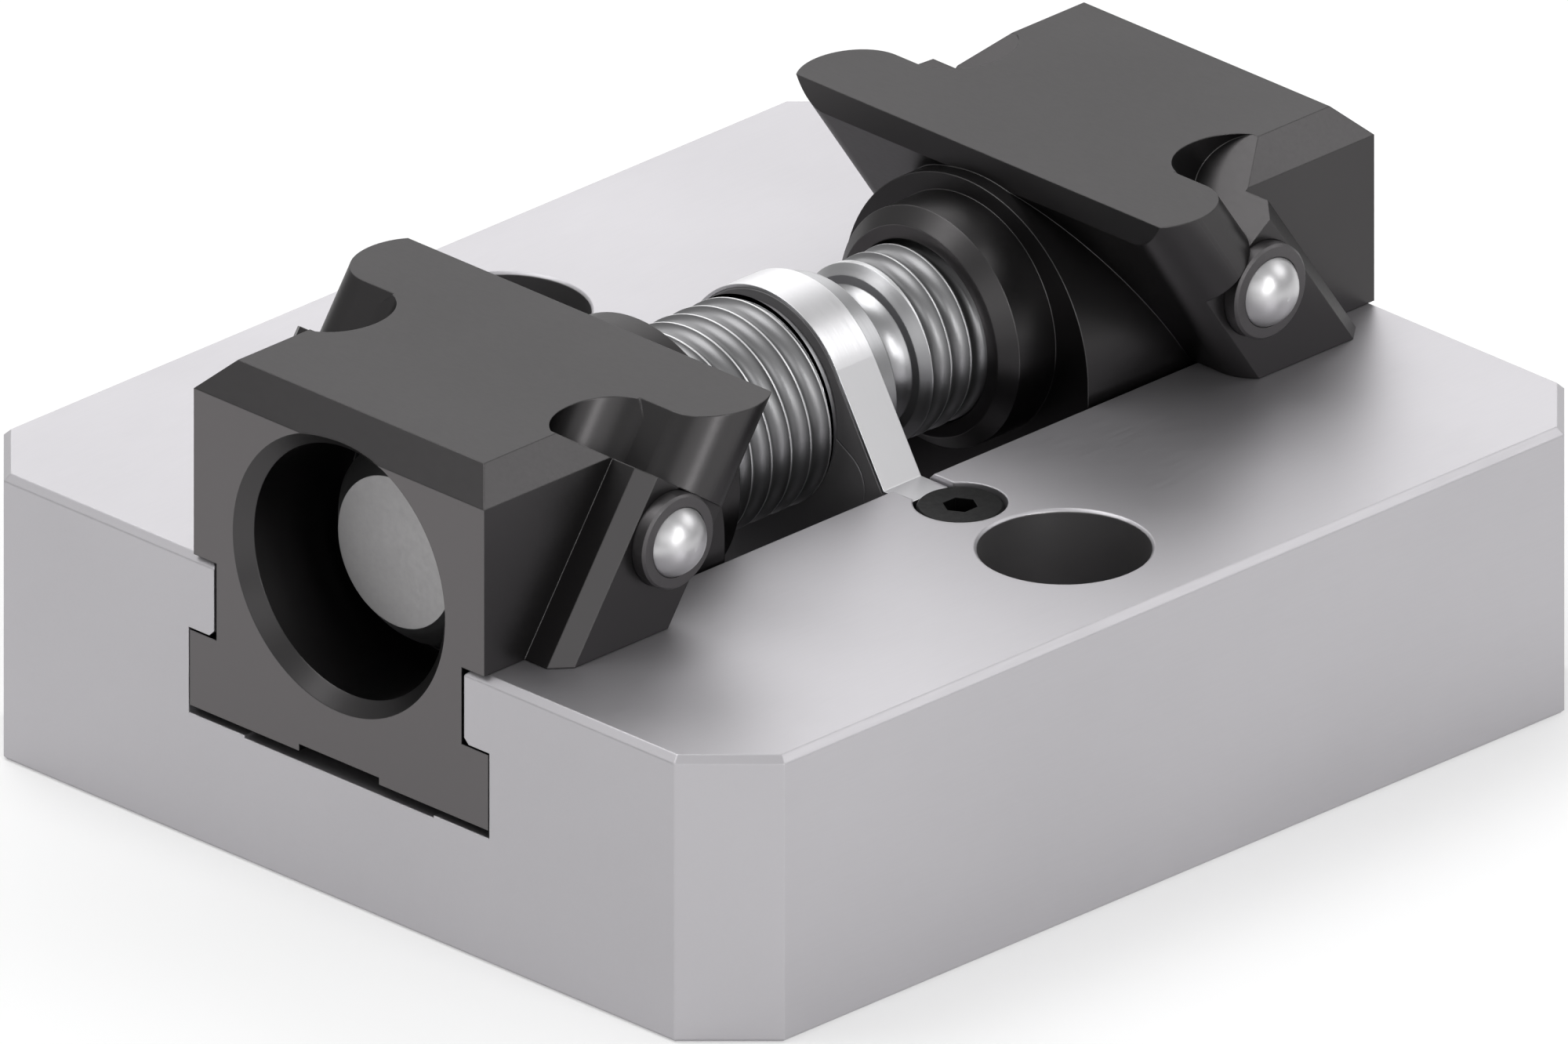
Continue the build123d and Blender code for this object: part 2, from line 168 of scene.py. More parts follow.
def tool_marks_group():
    group, start, end = new_group(
        "tool marks",
        [("Stretch", "NodeSocketVector", (1, 1, 1)), ("Detail", "NodeSocketFloat", 3.0)],
        [("Streak", "NodeSocketFloat")],
    )
    place = add_node(group, "ShaderNodeTexCoord")
    scaled = add_node(group, "ShaderNodeVectorMath", operation="MULTIPLY")
    noise = add_node(group, "ShaderNodeTexNoise")
    noise.inputs["Scale"].default_value = 1.0
    noise.inputs["Roughness"].default_value = MARK_ROUGHNESS
    group.links.new(place.outputs["Object"], scaled.inputs[0])
    group.links.new(start.outputs["Stretch"], scaled.inputs[1])
    group.links.new(scaled.outputs[0], noise.inputs["Vector"])
    group.links.new(start.outputs["Detail"], noise.inputs["Detail"])
    streak = remap(group, noise.outputs[0], NOISE_LOW, NOISE_HIGH, 0, 1)
    group.links.new(streak, end.inputs["Streak"])
    return group


tool_marks = tool_marks_group()
print("group", tool_marks.name)

# %% Worn edges
# How closely the rounded normal agrees with the true one, where wear begins and where it is full
WEAR_BEGINS = 0.97
WEAR_FULL = 0.8
LEAST_WEAR = 0.25
WEAR_NOISE_HIGH = 0.65
BEVEL_SAMPLES = 6


def worn_edges_group():
    group, start, end = new_group(
        "worn edges",
        [("Width", "NodeSocketFloat", 0.0003), ("Break up", "NodeSocketFloat", 900.0)],
        [("Edge", "NodeSocketFloat"), ("Rounded", "NodeSocketVector")],
    )
    rounded = add_node(group, "ShaderNodeBevel", samples=BEVEL_SAMPLES)
    true_shape = add_node(group, "ShaderNodeNewGeometry")
    same = add_node(group, "ShaderNodeVectorMath", operation="DOT_PRODUCT")
    place = add_node(group, "ShaderNodeTexCoord")
    noise = add_node(group, "ShaderNodeTexNoise")
    group.links.new(start.outputs["Width"], rounded.inputs["Radius"])
    group.links.new(rounded.outputs[0], same.inputs[0])
    group.links.new(rounded.outputs[0], end.inputs["Rounded"])
    group.links.new(true_shape.outputs["Normal"], same.inputs[1])
    group.links.new(place.outputs["Object"], noise.inputs["Vector"])
    group.links.new(start.outputs["Break up"], noise.inputs["Scale"])
    edge = remap(group, same.outputs["Value"], WEAR_BEGINS, WEAR_FULL, 0, 1)
    uneven = remap(group, noise.outputs[0], NOISE_LOW, WEAR_NOISE_HIGH, LEAST_WEAR, 1)
    group.links.new(math_node(group, "MULTIPLY", edge, uneven), end.inputs["Edge"])
    return group


worn_edges = worn_edges_group()
print("group", worn_edges.name)

# %% Handling
CLOUD_DETAIL = 5
SPECKS_PER_METRE = 2500
# Only the noise's rare high values leave a speck
SPECK_BEGINS = 0.45
SPECK_FULL = 0.75


def handling_group():
    group, start, end = new_group(
        "handling",
        [("Size", "NodeSocketFloat", 40.0)],
        [("Cloud", "NodeSocketFloat"), ("Speck", "NodeSocketFloat")],
    )
    place = add_node(group, "ShaderNodeTexCoord")
    cloud = add_node(group, "ShaderNodeTexNoise")
    cloud.inputs["Detail"].default_value = CLOUD_DETAIL
    speck = add_node(group, "ShaderNodeTexNoise")
    speck.inputs["Scale"].default_value = SPECKS_PER_METRE
    for noise in (cloud, speck):
        group.links.new(place.outputs["Object"], noise.inputs["Vector"])
    group.links.new(start.outputs["Size"], cloud.inputs["Scale"])
    clouds = remap(group, cloud.outputs[0], NOISE_LOW, NOISE_HIGH, 0, 1)
    specks = remap(group, speck.outputs[0], SPECK_BEGINS, SPECK_FULL, 0, 1)
    group.links.new(clouds, end.inputs["Cloud"])
    group.links.new(specks, end.inputs["Speck"])
    return group


handling = handling_group()
print("group", handling.name)

# %% [markdown]
# ## The metals
# Every finish is one Principled shader. What changes from metal to metal is its colour, how far it
# is metallic, how rough it is, and which way its tool marks run. Black oxide is a thin layer grown
# from the steel itself, so it is set as a very dark metal: it mirrors the studio, only several
# times more dimly than bare steel. Roughness and bump always vary over the surface.

# %% One recipe for a finished metal
# A speck stands this high beside a tool mark
SPECK_HEIGHT = 0.5


def finished_metal(name, colour, worn_colour, metallic, roughness, stretch, spread, bump,
                   edge_width=0.00025, cloud_tint=0.9, edge_tint=1.0):
    """A metal; bump is in millimetres, the width of its worn edges in metres."""
    material = bpy.data.materials.new(name)
    material.use_nodes = True
    tree = material.node_tree
    shader = tree.nodes["Principled BSDF"]
    shader.inputs["Metallic"].default_value = metallic
    shader.inputs["Specular Tint"].default_value = (edge_tint, edge_tint, edge_tint, 1)

    marks = place_group(tree, tool_marks, stretch=stretch)
    edges = place_group(tree, worn_edges, width=edge_width)
    touch = place_group(tree, handling)

    clouded = add_node(tree, "ShaderNodeMix", data_type="RGBA")
    clouded.inputs["A"].default_value = (*[c * cloud_tint for c in colour], 1)
    clouded.inputs["B"].default_value = (*colour, 1)
    tree.links.new(touch.outputs["Cloud"], clouded.inputs["Factor"])
    rubbed = add_node(tree, "ShaderNodeMix", data_type="RGBA")
    rubbed.inputs["B"].default_value = (*worn_colour, 1)
    tree.links.new(clouded.outputs["Result"], rubbed.inputs["A"])
    tree.links.new(edges.outputs["Edge"], rubbed.inputs["Factor"])
    tree.links.new(rubbed.outputs["Result"], shader.inputs["Base Color"])

    streaked = remap(tree, marks.outputs["Streak"], 0, 1, roughness - spread, roughness + spread)
    smeared = remap(tree, touch.outputs["Cloud"], 0, 1, spread / 2, -spread / 2)
    tree.links.new(math_node(tree, "ADD", streaked, smeared, clamp=True), shader.inputs["Roughness"])

    specks = math_node(tree, "MULTIPLY", touch.outputs["Speck"], SPECK_HEIGHT)
    relief = math_node(tree, "ADD", marks.outputs["Streak"], specks)
    bumped = add_node(tree, "ShaderNodeBump")
    bumped.inputs["Strength"].default_value = 1
    bumped.inputs["Distance"].default_value = bump * MM
    tree.links.new(relief, bumped.inputs["Height"])
    tree.links.new(edges.outputs["Rounded"], bumped.inputs["Normal"])
    tree.links.new(bumped.outputs["Normal"], shader.inputs["Normal"])
    return material


print("groups in each metal", tool_marks.name, worn_edges.name, handling.name)

# %% [markdown]
# The end faces of the jaws and the fronts of their bosses get a lighter, slightly warm grey. This is
# painted light: it stands in for light from the left falling on those faces. The upright hollows of
# the horns get bright bands, which are a painted highlight. A small group finds both kinds of face by
# the way they point.

# %% Painted light on the oxide
# Distances from the middle, along the spindle, of the jaws' end faces and of their bosses' fronts
END_FACES_BEYOND = 49.5 * MM
BOSS_FRONTS_WITHIN = 15.5 * MM
HOLLOWS_ABOVE = 33.5 * MM
# Parts of a face's normal: how far it points along, across or up for each kind of face
FACING_ALONG = 0.98
HARDLY_UP = 0.03
FLAT_ACROSS = 0.999
CURVED_ACROSS = 0.985
TOO_FAR_ALONG = 0.9
LITTLE_ALONG = 0.78


def painted_light_group():
    group, start, end = new_group(
        "painted light on oxide",
        [("Sharpness", "NodeSocketFloat", FACING_ALONG),
         ("Lowest", "NodeSocketFloat", HOLLOWS_ABOVE),
         ("End", "NodeSocketFloat", END_FACES_BEYOND),
         ("Front", "NodeSocketFloat", BOSS_FRONTS_WITHIN)],
        [("Lit ends", "NodeSocketFloat"), ("Hollow highlights", "NodeSocketFloat")])
    place = add_node(group, "ShaderNodeTexCoord")
    parts = add_node(group, "ShaderNodeSeparateXYZ")
    group.links.new(place.outputs["Normal"], parts.inputs[0])
    point = add_node(group, "ShaderNodeSeparateXYZ")
    group.links.new(place.outputs["Object"], point.inputs[0])
    along, across, upward = (math_node(group, "ABSOLUTE", parts.outputs[axis]) for axis in "XYZ")
    from_middle = math_node(group, "ABSOLUTE", point.outputs["X"])
    outer = math_node(group, "GREATER_THAN", from_middle, start.outputs["End"])
    inner = math_node(group, "LESS_THAN", from_middle, start.outputs["Front"])
    facing = math_node(group, "GREATER_THAN", along, start.outputs["Sharpness"])
    ends = math_node(group, "MULTIPLY", math_node(group, "ADD", outer, inner), facing)
    high = math_node(group, "GREATER_THAN", point.outputs["Z"], start.outputs["Lowest"])
    level = math_node(group, "LESS_THAN", upward, HARDLY_UP)
    upright = math_node(group, "MULTIPLY", level, high)
    curved = remap(group, across, FLAT_ACROSS, CURVED_ACROSS, 0, 1)
    hollows = math_node(group, "MULTIPLY", upright, curved)
    turned = remap(group, along, TOO_FAR_ALONG, LITTLE_ALONG, 0, 1)
    group.links.new(ends, end.inputs["Lit ends"])
    group.links.new(math_node(group, "MULTIPLY", hollows, turned), end.inputs["Hollow highlights"])
    return group


painted_light_masks = painted_light_group()


def paint_light_on_oxide(material, lit_ends_colour, hollow_highlight_colour):
    """Mixes painted light into the end faces and a painted highlight into the horns' hollows."""
    tree = material.node_tree
    base_colour = tree.nodes["Principled BSDF"].inputs["Base Color"]
    masks = place_group(tree, painted_light_masks)
    for mask, colour in (("Lit ends", lit_ends_colour), ("Hollow highlights", hollow_highlight_colour)):
        blend = add_node(tree, "ShaderNodeMix", data_type="RGBA")
        blend.inputs["B"].default_value = (*colour, 1)
        tree.links.new(masks.outputs[mask], blend.inputs["Factor"])
        tree.links.new(base_colour.links[0].from_socket, blend.inputs["A"])
        tree.links.new(blend.outputs["Result"], base_colour)


print("group", painted_light_masks.name)

# %% [markdown]
# The counterbores are cut with a piloted cutter, not ground, so their walls are smoother. A bore
# mostly mirrors itself, so its walls look darker; here that darkness is painted shade, a darker colour
# on the walls. A group marks the upright faces near both holes.

# %% Counterbore walls
HOLE_FROM_MIDDLE = 31.5 * MM
HOLE_REACH = 7.3 * MM
UPRIGHT_LIMIT = 0.1


def bored_walls_group():
    group, start, end = new_group(
        "bored walls",
        [("Across", "NodeSocketFloat", HOLE_FROM_MIDDLE), ("Reach", "NodeSocketFloat", HOLE_REACH)],
        [("Mask", "NodeSocketFloat")])
    place = add_node(group, "ShaderNodeTexCoord")
    point = add_node(group, "ShaderNodeSeparateXYZ")
    slope = add_node(group, "ShaderNodeSeparateXYZ")
    group.links.new(place.outputs["Object"], point.inputs[0])
    group.links.new(place.outputs["Normal"], slope.inputs[0])
    from_middle = math_node(group, "ABSOLUTE", point.outputs["Y"])
    sideways = math_node(group, "SUBTRACT", from_middle, start.outputs["Across"])
    across_squared = math_node(group, "MULTIPLY", sideways, sideways)
    along_squared = math_node(group, "MULTIPLY", point.outputs["X"], point.outputs["X"])
    away = math_node(group, "SQRT", math_node(group, "ADD", across_squared, along_squared))
    near = math_node(group, "LESS_THAN", away, start.outputs["Reach"])
    upward = math_node(group, "ABSOLUTE", slope.outputs["Z"])
    upright = math_node(group, "LESS_THAN", upward, UPRIGHT_LIMIT)
    group.links.new(math_node(group, "MULTIPLY", near, upright), end.inputs["Mask"])
    return group


bored_walls = bored_walls_group()


def paint_shade_in_bores(material, colour, smoother):
    """Paints shade on the bored walls as a darker colour, and gives them a share of the roughness
    round them.
    """
    tree = material.node_tree
    shader = tree.nodes["Principled BSDF"]
    mask = place_group(tree, bored_walls).outputs["Mask"]
    blend = add_node(tree, "ShaderNodeMix", data_type="RGBA")
    blend.inputs["B"].default_value = (*colour, 1)
    tree.links.new(mask, blend.inputs["Factor"])
    tree.links.new(shader.inputs["Base Color"].links[0].from_socket, blend.inputs["A"])
    tree.links.new(blend.outputs["Result"], shader.inputs["Base Color"])
    plain = shader.inputs["Roughness"].links[0].from_socket
    smooth = remap(tree, mask, 0, 1, 1, smoother)
    tree.links.new(math_node(tree, "MULTIPLY", plain, smooth), shader.inputs["Roughness"])


print("group", bored_walls.name)

# %% The finishes
GROUND_ROUGHNESS = 0.46
BORE_ROUGHNESS = 0.3

ground_steel = finished_metal(
    "ground steel", colour=(0.495, 0.484, 0.504), worn_colour=(0.62, 0.61, 0.63),
    metallic=0.94, roughness=GROUND_ROUGHNESS, stretch=(250, 5000, 5000), spread=0.02,
    bump=0.0006, edge_width=0.0002, cloud_tint=0.97)
# The bore walls' darker colour is painted shade; their lower roughness is their smoother cut
paint_shade_in_bores(ground_steel, (0.4, 0.392, 0.398), smoother=BORE_ROUGHNESS / GROUND_ROUGHNESS)
black_oxide = finished_metal(
    "black oxide", colour=(0.07, 0.0675, 0.0685), worn_colour=(0.1, 0.098, 0.098),
    metallic=1.0, roughness=0.34, stretch=(4000, 1200, 4000), spread=0.02, bump=0.0004,
    edge_width=0.00014, cloud_tint=0.92, edge_tint=0.65)
# Lighter end faces are painted light; the bright horn hollows are a painted highlight
paint_light_on_oxide(black_oxide, (0.135, 0.128, 0.13), (0.8, 0.79, 0.79))
sleeve_oxide = finished_metal(
    "sleeve oxide", colour=(0.12, 0.115, 0.118), worn_colour=(0.16, 0.155, 0.158),
    metallic=1.0, roughness=0.45, stretch=(2000, 2000, 2000), spread=0.04, bump=0.0005,
    edge_width=0.0001)
screw_oxide = finished_metal(
    "screw oxide", colour=(0.02, 0.02, 0.02), worn_colour=(0.05, 0.05, 0.05),
    metallic=1.0, roughness=0.45, stretch=(2000, 2000, 2000), spread=0.05, bump=0.001,
    edge_width=0.0001)
turned_steel = finished_metal(
    "turned steel", colour=(0.42, 0.42, 0.43), worn_colour=(0.7, 0.7, 0.71),
    metallic=1.0, roughness=0.34, stretch=(5000, 40, 40), spread=0.04, bump=0.001,
    edge_width=0.00012)
# The threads' hollows get a darker colour, which is painted shade; the crests get a bright one, which
# is a painted highlight on the part that also wears
shaded_thread_steel = finished_metal(
    "thread hollow shade", colour=(0.25, 0.25, 0.255), worn_colour=(0.5, 0.5, 0.51),
    metallic=1.0, roughness=0.42, stretch=(2500, 60, 60), spread=0.04, bump=0.001,
    edge_width=0.0001)
crest_highlight_steel = finished_metal(
    "crest highlight steel", colour=(0.7, 0.7, 0.71), worn_colour=(0.8, 0.8, 0.81),
    metallic=1.0, roughness=0.4, stretch=(5000, 40, 40), spread=0.04, bump=0.0005,
    edge_width=0.0001)
dull_steel = finished_metal(
    "dull steel", colour=(0.375, 0.368, 0.371), worn_colour=(0.5, 0.5, 0.5),
    metallic=1.0, roughness=0.5, stretch=(2000, 2000, 2000), spread=0.05, bump=0.001,
    edge_width=0.0001)
bearing_steel = finished_metal(
    "bearing steel", colour=(0.2, 0.195, 0.2), worn_colour=(0.3, 0.3, 0.31),
    metallic=0.5, roughness=0.45, stretch=(300, 2600, 2600), spread=0.05, bump=0.002)
strap_steel = finished_metal(
    "strap steel", colour=(0.73, 0.725, 0.74), worn_colour=(0.8, 0.8, 0.81),
    metallic=1.0, roughness=0.36, stretch=(4000, 60, 60), spread=0.04, bump=0.001,
    edge_width=0.0001)
ball_steel = finished_metal(
    "ball steel", colour=(0.62, 0.615, 0.625), worn_colour=(0.62, 0.615, 0.625),
    metallic=1.0, roughness=0.38, stretch=(500, 500, 500), spread=0.03, bump=0.0003,
    edge_width=0.0001)
spring_steel = finished_metal(
    "spring steel", colour=(0.42, 0.42, 0.43), worn_colour=(0.5, 0.5, 0.5),
    metallic=1.0, roughness=0.35, stretch=(900, 900, 900), spread=0.06, bump=0.001)

finish_of = {
    "base_body": ground_steel,
    "bearing_block": bearing_steel,
    "bearing_cap": bearing_steel,
    "bearing_strap": strap_steel,
    "left_strap_screw": screw_oxide,
    "right_strap_screw": screw_oxide,
    "near_jaw": black_oxide,
    "far_jaw": black_oxide,
}
for end in ("near", "far"):
    for side in ("left", "right"):
        finish_of[f"{end}_{side}_plunger_sleeve"] = sleeve_oxide
        finish_of[f"{end}_{side}_plunger_ball"] = ball_steel

for name, finish in finish_of.items():
    nodes[name].material_slots[0].material = finish
print("finished", len(finish_of), "nodes")

# %% [markdown]
# ## The spindle
# The real spindle is turned from one bar: a coarse round-bottomed thread at each end, of opposite
# hands, two collars that hold it in its bearing, and a smooth hollow neck. The CAD solid has plain
# cylinders where the threads are, because a helical cut makes very many faces. Here the whole
# spindle is laid out as a lathe would see it: a profile of distances from the axis, turned through
# small steps. In the thread zones the profile slides along the axis by one pitch in each turn, so
# the rows of the mesh follow the thread and its crests stay crisp. A Screw modifier could wind one
# thread, but it couldn't run it out into the collar or join it to the neck in one closed skin.

# %% The spindle's sizes
spindle_low, spindle_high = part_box("spindle")
AXIS_HEIGHT = (spindle_low.z + spindle_high.z) / 2
SPINDLE_END = spindle_high.x
PITCH = 2.2 * MM
NEAR_THREAD_RADIUS = 8.9 * MM
FAR_THREAD_RADIUS = 7.6 * MM
THREAD_DEPTH = 0.6 * MM
CREST_WIDTH = 0.16 * MM
HOLLOW_STEPS = 11
COLLAR_RADIUS = 8.5 * MM
COLLAR_BEVEL = 0.45 * MM
JOURNAL_RADIUS = 6.0 * MM
JOURNAL_END = 2.15 * MM
NEAR_COLLAR_END = -3.3 * MM
FAR_COLLAR_END = 4.2 * MM
NECK_MOUTH_RADIUS = 6.0 * MM
NECK_RADIUS = 5.2 * MM
FAR_THREAD_START = 8.4 * MM
FAR_START_CHAMFER = 0.8 * MM
NEAR_CHAMFER = 2.5 * MM
FAR_CHAMFER = 1.0 * MM
# Where the crests stand at the top of the spindle, as a share of the pitch
NEAR_PHASE = 0.10
FAR_PHASE = 0.36
RUN_OUT = radians(70)
FAR_LAST_GROOVE = 4
DRIVE_FLAT = 4.0 * MM
DRIVE_DEPTH = 10.0 * MM
TURN_STEPS = 96
# The seam of the turned skin lies away from the photograph's side
SEAM = radians(-123)
print("axis height", round(AXIS_HEIGHT / MM, 3), "mm, half length", round(SPINDLE_END / MM, 2), "mm")


# %% The thread's cross-section
SPARE_TURNS = 2


def hollow_offsets():
    """Distances along the axis from one crest's edge to the next, closer together at the flanks."""
    half = (PITCH - CREST_WIDTH) / 2
    swing = [pi * step / HOLLOW_STEPS for step in range(HOLLOW_STEPS + 1)]
    return [half * (1 - cos(angle)) for angle in swing]


def hollow_depth(offset):
    """Depth of the round hollow at a distance from the last crest's edge."""
    half = (PITCH - CREST_WIDTH) / 2
    arc = (half**2 + THREAD_DEPTH**2) / (2 * THREAD_DEPTH)
    return max(0.0, sqrt(max(0.0, arc**2 - (offset - half) ** 2)) - (arc - THREAD_DEPTH))


def thread_rows(start, end, phase):
    """Row positions at the top of the spindle, with spare turns before the zone and after it."""
    first = floor(start / PITCH - phase) - SPARE_TURNS
    last = floor(end / PITCH - phase) + SPARE_TURNS
    rows = []
    for turn in range(first, last + 1):
        crest = (turn + phase) * PITCH
        for offset in hollow_offsets():
            rows.append((crest + CREST_WIDTH / 2 + offset, hollow_depth(offset)))
    return rows


print("rows in one pitch", len(hollow_offsets()))


# %% [markdown]
# The thread doesn't start or stop at full depth. A cutter is fed in and drawn out over part of a
# turn, so beside the neck the hollow fades into a plain land. The zone function below returns one
# list of mesh rows, each with one point for every step of the turn, and says by how many rows the
# skin has climbed when it comes back to its seam.

# %% One thread zone
def wind_thread(radius, hand, phase, start, end, limit, last_groove=None):
    """Rows of (x, radius) round the axis for a thread between two planes.

    limit gives the largest radius allowed at each x, for the bar's chamfered end.
    last_groove is the turn at which the hollow fades out, counted in crests from the middle.
    """
    slots = thread_rows(start, end, phase)
    rows = []
    for x_top, depth in slots:
        row = []
        for step in range(TURN_STEPS):
            angle = SEAM + 2 * pi * step / TURN_STEPS
            x = x_top + hand * PITCH * angle / (2 * pi)
            here = depth
            if last_groove is not None:
                turns_left = (x_top / PITCH - phase) // 1 - last_groove
                swept = turns_left * 2 * pi + (SEAM + 2 * pi - angle)
                fade = min(1.0, max(0.0, swept / RUN_OUT))
                here = depth * fade * fade * (3 - 2 * fade)
            x = min(max(x, start), end)
            row.append((x, min(radius - here, limit(x))))
        rows.append(row)
    return rows, hand * (HOLLOW_STEPS + 1)


def near_end_limit(x):
    return NEAR_THREAD_RADIUS - max(0.0, NEAR_CHAMFER - (x + SPINDLE_END))


def far_end_limit(x):
    return FAR_THREAD_RADIUS - max(0.0, FAR_CHAMFER - (SPINDLE_END - x))


near_rows, near_climb = wind_thread(
    NEAR_THREAD_RADIUS, 1, NEAR_PHASE, -SPINDLE_END, NEAR_COLLAR_END, near_end_limit)
far_rows, far_climb = wind_thread(
    FAR_THREAD_RADIUS, -1, FAR_PHASE, FAR_THREAD_START + FAR_START_CHAMFER, SPINDLE_END,
    far_end_limit, last_groove=FAR_LAST_GROOVE)
print("thread rows", len(near_rows), len(far_rows))


# %% The plain parts of the spindle and the drive socket
NECK_STEPS = 14


def plain_ring(x, radius):
    return [(x, radius)] * TURN_STEPS


def socket_ring(x):
    """A ring that follows the hexagon of the drive socket, with a corner at the top."""
    sixth = pi / 3
    ring = []
    for step in range(TURN_STEPS):
        angle = SEAM + 2 * pi * step / TURN_STEPS
        ring.append((x, DRIVE_FLAT / cos(angle % sixth - sixth / 2)))
    return ring


def neck_rings():
    """The hollow neck: an arc through both mouths and the neck's smallest radius."""
    middle = (FAR_COLLAR_END + FAR_THREAD_START) / 2
    half = (FAR_THREAD_START - FAR_COLLAR_END) / 2
    drop = NECK_MOUTH_RADIUS - NECK_RADIUS
    arc = (half**2 + drop**2) / (2 * drop)
    rings = []
    for step in range(NECK_STEPS + 1):
        x = -half + 2 * half * step / NECK_STEPS
        rings.append(plain_ring(middle + x, NECK_RADIUS + arc - sqrt(arc**2 - x**2)))
    return rings


middle_rings = [
    plain_ring(NEAR_COLLAR_END, COLLAR_RADIUS),
    plain_ring(-JOURNAL_END - COLLAR_BEVEL, COLLAR_RADIUS),
    plain_ring(-JOURNAL_END, COLLAR_RADIUS - COLLAR_BEVEL),
    plain_ring(-JOURNAL_END, JOURNAL_RADIUS),
    plain_ring(JOURNAL_END, JOURNAL_RADIUS),
    plain_ring(JOURNAL_END, COLLAR_RADIUS - COLLAR_BEVEL),
    plain_ring(JOURNAL_END + COLLAR_BEVEL, COLLAR_RADIUS),
    plain_ring(FAR_COLLAR_END, COLLAR_RADIUS),
    *neck_rings(),
    plain_ring(FAR_THREAD_START, FAR_THREAD_RADIUS - FAR_START_CHAMFER),
]
socket_rings = [
    socket_ring(SPINDLE_END),
    socket_ring(SPINDLE_END - DRIVE_DEPTH),
]
print("plain rings", len(middle_rings))


# %% Skin the spindle
WELD_DISTANCE = 1e-7
SMOOTH_ANGLE = radians(32)


def skin(bm, rows, climb=0):
    """Faces between rows of (x, radius); at the seam the skin joins the row that it has climbed to."""
    grid = []
    for row in rows:
        line = []
        for step, (x, radius) in enumerate(row):
            angle = SEAM + 2 * pi * step / TURN_STEPS
            line.append(bm.verts.new((x, -radius * sin(angle), AXIS_HEIGHT + radius * cos(angle))))
        grid.append(line)
    last = len(grid) - 1
    for i in range(last):
        for step in range(TURN_STEPS):
            here, there = grid[i], grid[i + 1]
            if step + 1 < TURN_STEPS:
                ahead = (there[step + 1], here[step + 1])
            else:
                up = min(max(i + 1 + climb, 0), last)
                low = min(max(i + climb, 0), last)
                ahead = (grid[up][0], grid[low][0])
            corners = list(dict.fromkeys((here[step], there[step], *ahead)))
            if len(corners) > 2:
                bm.faces.new(corners)


def close_end(bm, ring, x):
    """A fan of triangles from a ring to the axis."""
    centre = bm.verts.new((x, 0, AXIS_HEIGHT))
    corners = []
    for step, (_, radius) in enumerate(ring):
        angle = SEAM + 2 * pi * step / TURN_STEPS
        corners.append(bm.verts.new((x, -radius * sin(angle), AXIS_HEIGHT + radius * cos(angle))))
    for step in range(TURN_STEPS):
        bm.faces.new((centre, corners[step], corners[(step + 1) % TURN_STEPS]))


def build_spindle():
    bm = bmesh.new()
    close_end(bm, near_rows[0], -SPINDLE_END)
    skin(bm, near_rows, near_climb)
    skin(bm, [near_rows[-1], *middle_rings, far_rows[0]])
    skin(bm, far_rows, far_climb)
    skin(bm, [far_rows[-1], *socket_rings])
    close_end(bm, socket_rings[-1], SPINDLE_END - DRIVE_DEPTH)
    bmesh.ops.remove_doubles(bm, verts=bm.verts, dist=WELD_DISTANCE)
    bmesh.ops.dissolve_degenerate(bm, edges=bm.edges, dist=WELD_DISTANCE)
    bmesh.ops.recalc_face_normals(bm, faces=bm.faces)
    return bm


def finish_mesh(bm, name):
    """Turns a bmesh into an object with smooth faces and sharp edges where they turn hard."""
    open_edges = sum(1 for edge in bm.edges if not edge.is_manifold)
    mesh = bpy.data.meshes.new(name)
    bm.to_mesh(mesh)
    bm.free()
    mesh.shade_smooth()
    mesh.set_sharp_from_angle(angle=SMOOTH_ANGLE)
    piece = bpy.data.objects.new(name, mesh)
    bpy.context.scene.collection.objects.link(piece)
    print(name, "faces", len(mesh.polygons), "open edges", open_edges)
    return piece


threaded_spindle = finish_mesh(build_spindle(), "threaded_spindle")

# %% The spindle's finishes
SPINDLE_FINISHES = (turned_steel, dull_steel, shaded_thread_steel, crest_highlight_steel)
TURNED, DULL, SHADED_HOLLOW, LIT_CREST = range(4)
END_REACH = 0.025 * MM
FACING_THE_END = 0.9
SOCKET_REACH = 5.2 * MM
CREST_TOLERANCE = 0.02 * MM


def finish_of_face(face):
    """Dull on the near end; painted shade in the threads' hollows and a painted highlight on their
    crests.
    """
    across = face.center - Vector((face.center.x, 0, AXIS_HEIGHT))
    if face.center.x < -SPINDLE_END + END_REACH and abs(face.normal.x) > FACING_THE_END:
        return DULL
    if NEAR_COLLAR_END < face.center.x < FAR_THREAD_START + FAR_START_CHAMFER:
        return TURNED
    if across.length < SOCKET_REACH:
        return TURNED
    crest = NEAR_THREAD_RADIUS if face.center.x < 0 else FAR_THREAD_RADIUS
    flattened = crest * cos(pi / TURN_STEPS)
    return LIT_CREST if across.length > flattened - CREST_TOLERANCE else SHADED_HOLLOW


for finish in SPINDLE_FINISHES:
    threaded_spindle.data.materials.append(finish)
for face in threaded_spindle.data.polygons:
    face.material_index = finish_of_face(face)
used = [face.material_index for face in threaded_spindle.data.polygons]
print("finishes", [used.count(index) for index in range(len(SPINDLE_FINISHES))])
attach(threaded_spindle, "spindle")
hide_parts("spindle")

# %% [markdown]
# ## The plunger springs
# Behind each ball sits a short coil spring that pushes it out. It is wound here from round wire, in
# place of the CAD spring, at one length, though the real one gets shorter as its ball is pressed in. A
# Blender curve with a round bevel would draw the same coil.

# %% Springs
WIRE_RADIUS = 0.4 * MM
SPRING_TURNS = 3
STEPS_PER_TURN = 24
WIRE_SIDES = 12


